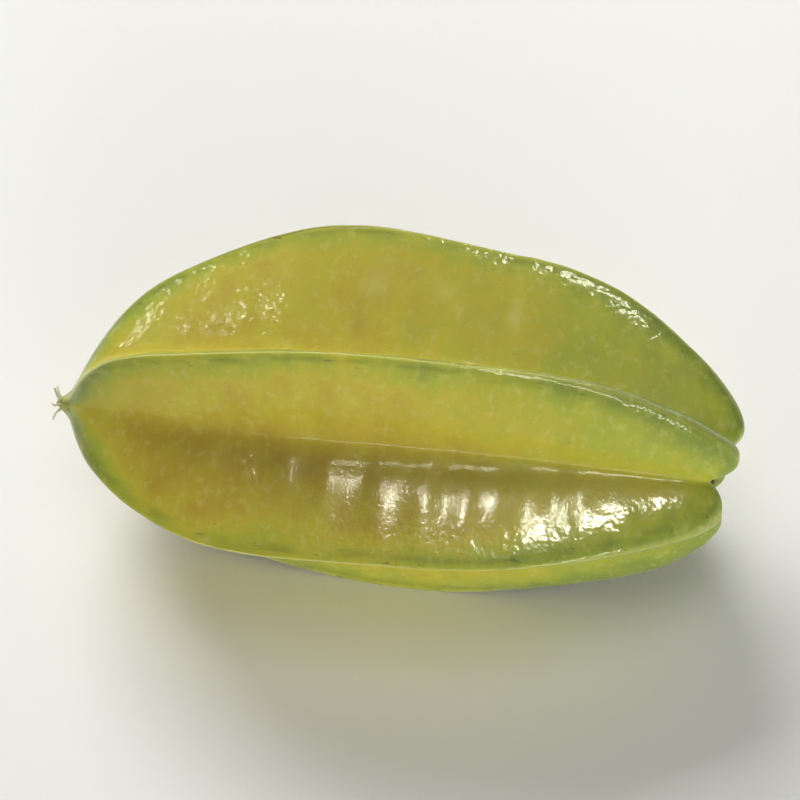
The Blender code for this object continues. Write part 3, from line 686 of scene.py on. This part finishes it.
def stylesTree():
    tree = bpy.data.node_groups.new("dryStyleThreads", "GeometryNodeTree")
    tree.interface.new_socket("Geometry", in_out="OUTPUT", socket_type="NodeSocketGeometry")
    for name, value in styles.items():
        kind = "NodeSocketInt" if isinstance(value, int) else "NodeSocketFloat"
        tree.interface.new_socket(name, in_out="INPUT", socket_type=kind).default_value = value
    tree.interface.new_socket("Place", in_out="INPUT", socket_type="NodeSocketVector")
    tree.interface.new_socket("Finish", in_out="INPUT", socket_type="NodeSocketMaterial")
    given = addNode(tree, "NodeGroupInput").outputs
    known = {name: given[name] for name in styles}
    known["along"] = addNode(tree, "GeometryNodeSplineParameter").outputs["Factor"]
    known["number"] = addNode(tree, "GeometryNodeInputIndex").outputs[0]
    known["loose"] = addNode(tree, "FunctionNodeRandomValue", {
        "data_type": "FLOAT", 2: -styleChance["turn"], 3: styleChance["turn"],
        "Seed": styleChance["turnSeed"]}).outputs[1]
    known["grown"] = addNode(tree, "GeometryNodeInputNamedAttribute", {
        "data_type": "FLOAT", "Name": "along"}).outputs[0]
    # its tip, the point that bends it forward on the way there, how it thins, and its turn round the axis
    for name, operation, *terms in (
            ("leanSine", "SINE", "Lean"), ("leanCosine", "COSINE", "Lean"),
            ("out", "MULTIPLY", "Length", "leanSine"), ("ahead", "MULTIPLY", "Length", "leanCosine"),
            ("tipBack", "SUBTRACT", "Root back", "ahead"), ("tipOut", "ADD", "Root out", "out"),
            ("bendBack", "MULTIPLY_ADD", "ahead", -0.9, "Root back"),
            ("bendOut", "MULTIPLY_ADD", "out", 0.3, "Root out"),
            ("taper", "MULTIPLY_ADD", "along", -0.45, 1.0), ("thick", "MULTIPLY", "Thickness", "taper"),
            ("turned", "MULTIPLY", "number", 2 * math.pi), ("evenTurn", "DIVIDE", "turned", "Threads"),
            ("turn", "ADD", "evenTurn", "loose"), ("closeness", "DIVIDE", 1.0, "Crinkle size"),
            ("crooked", "MULTIPLY", "grown", "Crinkle"), ("crookedTwice", "MULTIPLY", "crooked", 2.0)):
        numbers = {i: term for i, term in enumerate(terms) if not isinstance(term, str)}
        sockets = {i: known[term] for i, term in enumerate(terms) if isinstance(term, str)}
        step = addNode(tree, "ShaderNodeMath", {"operation": operation, "label": name, **numbers}, sockets)
        known[name] = step.outputs[0]
    # one thread, from the side of the beak outwards
    root = addNode(tree, "ShaderNodeCombineXYZ", links={"X": known["Root back"], "Y": known["Root out"]})
    bend = addNode(tree, "ShaderNodeCombineXYZ", links={
        "X": known["bendBack"], "Y": known["bendOut"], "Z": known["Bend"]})
    tip = addNode(tree, "ShaderNodeCombineXYZ", links={"X": known["tipBack"], "Y": known["tipOut"]})
    curve = addNode(tree, "GeometryNodeCurveQuadraticBezier", {"Resolution": 18}, {
        "Start": root.outputs[0], "Middle": bend.outputs[0], "End": tip.outputs[0]})
    marked = addNode(tree, "GeometryNodeStoreNamedAttribute", {
        "data_type": "FLOAT", "domain": "POINT", "Name": "along"}, {
        "Geometry": curve.outputs[0], "Value": known["along"]})
    ring = addNode(tree, "GeometryNodeCurvePrimitiveCircle", {"Resolution": 10, "Radius": 1.0})
    swept = addNode(tree, "GeometryNodeCurveToMesh", {"Fill Caps": True}, {
        "Curve": marked.outputs[0], "Profile Curve": ring.outputs[0], "Scale": known["thick"]})
    # as many of them as asked, round the axis, each of its own length
    spots = addNode(tree, "GeometryNodePoints", links={"Count": given["Threads"]})
    spin = addNode(tree, "ShaderNodeCombineXYZ", links={"X": known["turn"]})
    longer = addNode(tree, "FunctionNodeRandomValue", {
        "data_type": "FLOAT", 2: styleChance["shortest"], 3: 1.0, "Seed": styleChance["lengthSeed"]}).outputs[1]
    threads = addNode(tree, "GeometryNodeInstanceOnPoints", links={
        "Points": spots.outputs[0], "Instance": swept.outputs[0], "Rotation": spin.outputs[0], "Scale": longer})
    real = addNode(tree, "GeometryNodeRealizeInstances", links={"Geometry": threads.outputs[0]})
    # they have dried crooked, more so towards their ends
    spot = addNode(tree, "GeometryNodeInputPosition").outputs[0]
    close = addNode(tree, "ShaderNodeVectorMath", {"operation": "SCALE"}, {0: spot, "Scale": known["closeness"]})
    cloud = addNode(tree, "ShaderNodeTexNoise", {"noise_dimensions": "4D", "Scale": 1.0, "Detail": 1.0}, {
        "Vector": close.outputs[0], "W": given["Seed"]})
    centred = addNode(tree, "ShaderNodeVectorMath", {"operation": "SUBTRACT", 1: (0.5, 0.5, 0.5)}, {
        0: cloud.outputs["Color"]})
    shift = addNode(tree, "ShaderNodeVectorMath", {"operation": "SCALE"}, {
        0: centred.outputs[0], "Scale": known["crookedTwice"]})
    placed = addNode(tree, "ShaderNodeVectorMath", {"operation": "ADD"}, {0: shift.outputs[0], 1: given["Place"]})
    crooked = addNode(tree, "GeometryNodeSetPosition", links={
        "Geometry": real.outputs[0], "Offset": placed.outputs[0]})
    smooth = addNode(tree, "GeometryNodeSetShadeSmooth", links={"Geometry": crooked.outputs[0]})
    dressed = addNode(tree, "GeometryNodeSetMaterial", links={
        "Geometry": smooth.outputs[0], "Material": given["Finish"]})
    addNode(tree, "NodeGroupOutput", links={"Geometry": dressed.outputs[0]})
    return tree


def dryStyle():
    # withered style of the flower: papery and matt, greenish at its root and straw-pale at its end
    made, tree, shader = newMaterial("witheredStyle")
    for name, value in styleShader.items():
        shader.inputs[name].default_value = value
    along = addNode(tree, "ShaderNodeAttribute", {"attribute_name": "along"}).outputs["Fac"]
    ramp = addNode(tree, "ShaderNodeValToRGB", links={0: along})
    for element, end, where in zip(ramp.color_ramp.elements, ("root", "end"), (0.0, styleLook["endFrom"])):
        element.position = where
        element.color = linearColour(styleLook[end])
    tree.links.new(ramp.outputs[0], shader.inputs["Base Color"])
    return made


beakTip = fruit["Half length"] + fruit["Cone height"] + fruit["Beak height"]
papery = dryStyle()
threads = plainMesh("style_threads", stylesTree(), {
    **styles, "Place": axisPlace - Vector((beakTip, 0, 0)), "Finish": papery}, papery)
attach(threads, "root")
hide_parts("dried_styles")

# The stub of the stalk, in the hollow between the shoulders
print("stalk")
stalk = {
    "rows": 40, "sides": 48,
    # how far above the hidden end, and the radius there, in millimetres
    "outline": ((0.6, 1.3), (1.9, 2.5), (2.3, 2.35), (2.9, 1.6), (3.5, 1.25), (4.2, 1.12), (4.8, 1.2), (5.1, 1.28),
                (5.25, 1.1), (5.1, 0.8), (4.9, 0.4), (4.85, 0.0)),
    "ridges": 9, "ridgeDepth": 0.07, "ridgeTwist": 1.3,  # the last in radians for each millimetre of height
    "lumps": 0.16, "lumpSize": 1.1, "torn": 0.18, "tornFrom": 7,  # the last is the outline's point where it is torn
    "seed": (3, 1, 7), "weld": 5e-6,  # the weld in metres
    "roughness": 0.8, "dark": "#4a3b22", "pale": "#8f7a4c", "darkBelow": 0.3, "paleAbove": 0.7, "foot": "#7d8040",
    "footFrom": 0.0018, "footTo": 0.0036,  # metres above the hidden end where the green of the skin leaves off
    "fibres": (500, 2200, 2200), "fibreDepth": 0.00012,  # fibres 2 mm long and half a millimetre thick, per metre
}


def stalkMesh():
    # the outline is turned about the axis, with ridges along the bark and a torn, dished end
    bm = bmesh.new()
    points = [Vector(pair) for pair in stalk["outline"]]
    rows = []
    for row in range(stalk["rows"] + 1):
        place = row / stalk["rows"] * (len(points) - 1)
        first = min(int(place), len(points) - 2)
        height, radius = points[first].lerp(points[first + 1], place - first)
        ring = []
        for side in range(stalk["sides"]):
            angle = 2 * math.pi * side / stalk["sides"]
            wave = math.cos(stalk["ridges"] * angle + stalk["ridgeTwist"] * height)
            ridge = 1 - stalk["ridgeDepth"] * (0.5 + 0.5 * wave)
            way = Vector((0, math.cos(angle), math.sin(angle)))
            rough = noise.noise((way * radius + Vector((height, 0, 0))) / stalk["lumpSize"] + Vector(stalk["seed"]))
            thick = max(radius * ridge + stalk["lumps"] * rough * min(1, radius), 0)
            torn = stalk["torn"] * rough if first >= stalk["tornFrom"] else 0
            spotHere = Vector((stubLow.x, axisPlace.y, axisPlace.z)) + way * thick * millimetre
            spotHere.x += (height + torn) * millimetre
            ring.append(bm.verts.new(spotHere))
        rows.append(ring)
    for low, high in zip(rows, rows[1:]):
        for side in range(stalk["sides"]):
            beside = (side + 1) % stalk["sides"]
            bm.faces.new((low[side], low[beside], high[beside], high[side]))
    bm.faces.new(rows[0])
    bmesh.ops.remove_doubles(bm, verts=bm.verts, dist=stalk["weld"])
    bmesh.ops.recalc_face_normals(bm, faces=bm.faces)
    mesh = bpy.data.meshes.new("stalk_bark")
    bm.to_mesh(mesh)
    bm.free()
    mesh.shade_smooth()
    made = bpy.data.objects.new("stalk_bark", mesh)
    bpy.context.scene.collection.objects.link(made)
    return made


def stalkBark():
    # dried bark of the fruit's stalk, torn off: matt, brown with green-grey where it meets the skin
    made, tree, shader = newMaterial("driedStalkBark")
    shader.inputs["Roughness"].default_value = stalk["roughness"]
    spot = addNode(tree, "ShaderNodeTexCoord").outputs["Object"]
    stretched = addNode(tree, "ShaderNodeMapping", {"Scale": stalk["fibres"]}, {"Vector": spot})
    fibre = addNode(tree, "ShaderNodeTexNoise", {"Scale": 1.0, "Detail": 4.0}, {"Vector": stretched.outputs[0]})
    along = addNode(tree, "ShaderNodeSeparateXYZ", links={0: spot}).outputs["X"]
    upward = addNode(tree, "ShaderNodeMapRange", {
        "From Min": stubLow.x + stalk["footFrom"], "From Max": stubLow.x + stalk["footTo"]}, {
        "Value": along}).outputs[0]
    ramp = addNode(tree, "ShaderNodeValToRGB", links={0: fibre.outputs[0]})
    for element, shade, limit in zip(ramp.color_ramp.elements, ("dark", "pale"), ("darkBelow", "paleAbove")):
        element.position = stalk[limit]
        element.color = linearColour(stalk[shade])
    blend = addNode(tree, "ShaderNodeMix", {"data_type": "RGBA", 6: linearColour(stalk["foot"])}, {
        0: upward, 7: ramp.outputs[0]})
    tree.links.new(blend.outputs[2], shader.inputs["Base Color"])
    bump = addNode(tree, "ShaderNodeBump", {"Strength": 0.8, "Distance": stalk["fibreDepth"]}, {
        "Height": fibre.outputs[0]})
    tree.links.new(bump.outputs[0], shader.inputs["Normal"])
    return made


stub = stalkMesh()
stub.data.materials.append(stalkBark())
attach(stub, "root")
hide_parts("stalk_stub")
